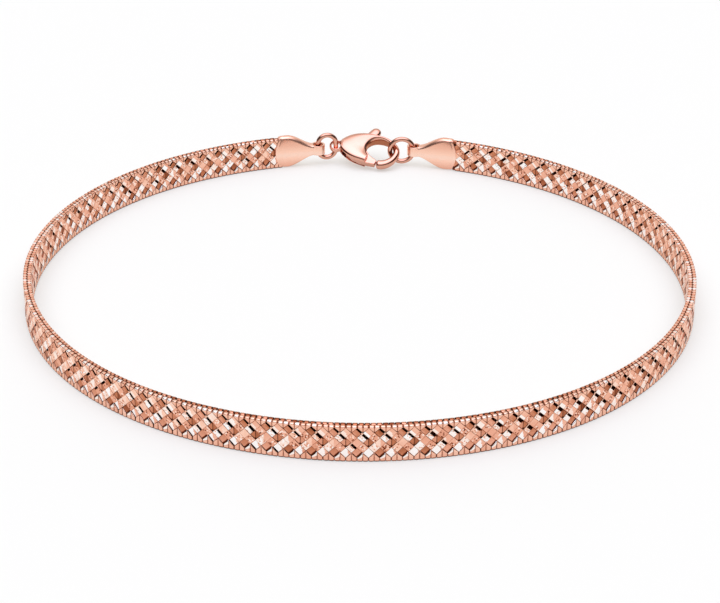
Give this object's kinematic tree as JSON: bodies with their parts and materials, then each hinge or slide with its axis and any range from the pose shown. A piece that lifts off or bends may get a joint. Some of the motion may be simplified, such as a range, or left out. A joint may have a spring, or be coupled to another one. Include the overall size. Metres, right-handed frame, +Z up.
{
  "type": "mesh anklet",
  "caption": "Flat woven mesh anklet, a closed loop joined at spade-shaped end caps by jump rings and a lobster-claw clasp with a sprung lever.",
  "frame": {"origin": "middle of the hoop, on the surface that the anklet stands on", "axes": "+Z up along the ankle, +Y from the middle of the hoop towards the clasp, +X to the hook end of the clasp"},
  "size_m": [0.0818, 0.0842, 0.0046],
  "materials": {
    "woven_mesh": "rose-gold woven strip, partly diamond-cut",
    "polished_metal": "polished rose gold"
  },
  "bodies": {
    "anklet": {"mesh_band": "woven_mesh", "end_cap_left": "polished_metal", "end_cap_right": "polished_metal", "jump_ring_left": "polished_metal", "jump_ring_right": "polished_metal", "clasp_body": "polished_metal", "clasp_pin": "polished_metal"},
    "lever": {"clasp_lever": "polished_metal"}
  },
  "joints": [
    {"name": "lever_pivot", "type": "hinge", "parent": "anklet", "child": "lever", "pos_m": [-0.00149, 0.03912, 0.0017], "axis": [0, -0.5299, 0.848], "range_deg": [0, 18], "stiffness_Nm_per_rad": 0.001, "springref_deg": -28.65}
  ]
}
